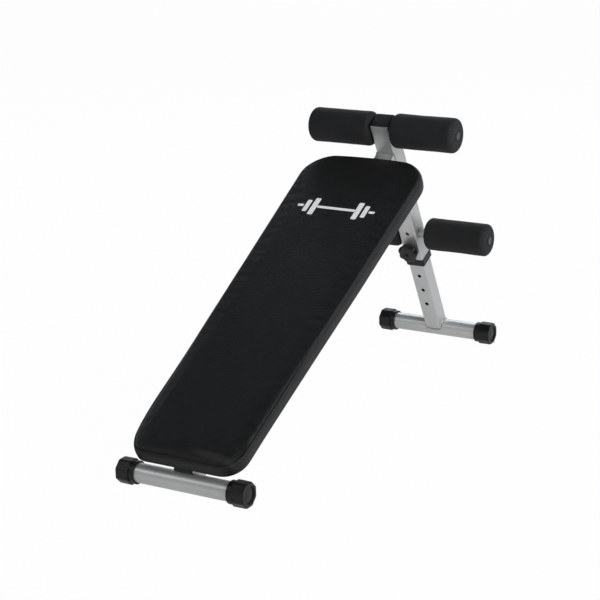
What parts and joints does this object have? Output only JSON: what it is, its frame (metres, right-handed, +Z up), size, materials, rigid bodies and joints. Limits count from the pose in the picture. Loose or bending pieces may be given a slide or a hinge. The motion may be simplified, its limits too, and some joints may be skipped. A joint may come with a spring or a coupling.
{
  "type": "decline sit up bench",
  "caption": "Decline sit up bench: long padded board on a square steel backbone, leaning upright with foam leg rollers, round feet, telescoping rear leg set by a spring pin knob.",
  "frame": {"origin": "on the floor, midway between the axes of the front and rear feet, on the bench centre line", "axes": "+X to the right of someone standing at the front (low) foot and looking up the board, +Y from the front foot to the rear foot, +Z up"},
  "size_m": [0.4488, 1.3044, 0.6731],
  "materials": {
    "silver_paint": "satin",
    "black_plastic": "satin",
    "knob_plastic": "satin",
    "black_foam": "matte",
    "leatherette": "satin",
    "plywood": "matte",
    "zinc_steel": "satin",
    "spring_steel": "satin"
  },
  "bodies": {
    "frame": {"front_foot_tube": "silver_paint", "front_foot_cap_left": "black_plastic", "front_foot_cap_right": "black_plastic", "backbone_tube": "silver_paint", "upright_tube": "silver_paint", "upright_top_plug": "black_plastic", "leg_bush": "black_plastic", "pin_housing": "zinc_steel", "pin_spring": "spring_steel", "pad_bracket_front": "silver_paint", "pad_bracket_rear": "silver_paint", "pad_plywood": "plywood", "pad_cushion": "leatherette", "top_roller_bar": "silver_paint", "top_bar_plug_left": "black_plastic", "top_bar_plug_right": "black_plastic", "lower_roller_bar_left": "silver_paint", "lower_roller_bar_right": "silver_paint", "lower_bar_plug_left": "black_plastic", "lower_bar_plug_right": "black_plastic", "pad_bolt_front_left": "zinc_steel", "pad_washer_front_left": "zinc_steel", "pad_t_nut_front_left": "zinc_steel", "pad_bolt_front_right": "zinc_steel", "pad_washer_front_right": "zinc_steel", "pad_t_nut_front_right": "zinc_steel", "pad_bolt_rear_left": "zinc_steel", "pad_washer_rear_left": "zinc_steel", "pad_t_nut_rear_left": "zinc_steel", "pad_bolt_rear_right": "zinc_steel", "pad_washer_rear_right": "zinc_steel", "pad_t_nut_rear_right": "zinc_steel"},
    "leg": {"leg_tube": "silver_paint", "leg_guide_plug": "black_plastic", "rear_foot_tube": "silver_paint", "rear_foot_cap_left": "black_plastic", "rear_foot_cap_right": "black_plastic"},
    "lock_pin": {"lock_pin": "zinc_steel"},
    "knob": {"knob": "knob_plastic"},
    "top_roller_left": {"top_foam_roller_left": "black_foam"},
    "top_roller_right": {"top_foam_roller_right": "black_foam"},
    "lower_roller_left": {"lower_foam_roller_left": "black_foam"},
    "lower_roller_right": {"lower_foam_roller_right": "black_foam"}
  },
  "joints": [
    {"name": "leg_slide", "type": "slide", "parent": "frame", "child": "leg", "axis": [0, -0.4421, 0.8969], "range_m": [-0.1, 0.2], "stiffness_N_per_m": 120000},
    {"name": "pin_pull", "type": "slide", "parent": "frame", "child": "lock_pin", "axis": [0, -0.8969, -0.4421], "range_m": [0, 0.01], "stiffness_N_per_m": 600, "springref_m": -0.012, "deforming": ["pin_spring"]},
    {"name": "knob_turn", "type": "hinge", "parent": "lock_pin", "child": "knob", "pos_m": [0, 0.49185, 0.29635], "axis": [0, -0.8969, -0.4421], "continuous": true},
    {"name": "top_roller_left_spin", "type": "hinge", "parent": "frame", "child": "top_roller_left", "pos_m": [0, 0.32777, 0.62921], "axis": [1, 0, 0], "continuous": true},
    {"name": "top_roller_right_spin", "type": "hinge", "parent": "frame", "child": "top_roller_right", "pos_m": [0, 0.32777, 0.62921], "axis": [1, 0, 0], "continuous": true},
    {"name": "lower_roller_left_spin", "type": "hinge", "parent": "frame", "child": "lower_roller_left", "pos_m": [0, 0.475, 0.33052], "axis": [1, 0, 0], "continuous": true},
    {"name": "lower_roller_right_spin", "type": "hinge", "parent": "frame", "child": "lower_roller_right", "pos_m": [0, 0.475, 0.33052], "axis": [1, 0, 0], "continuous": true}
  ]
}
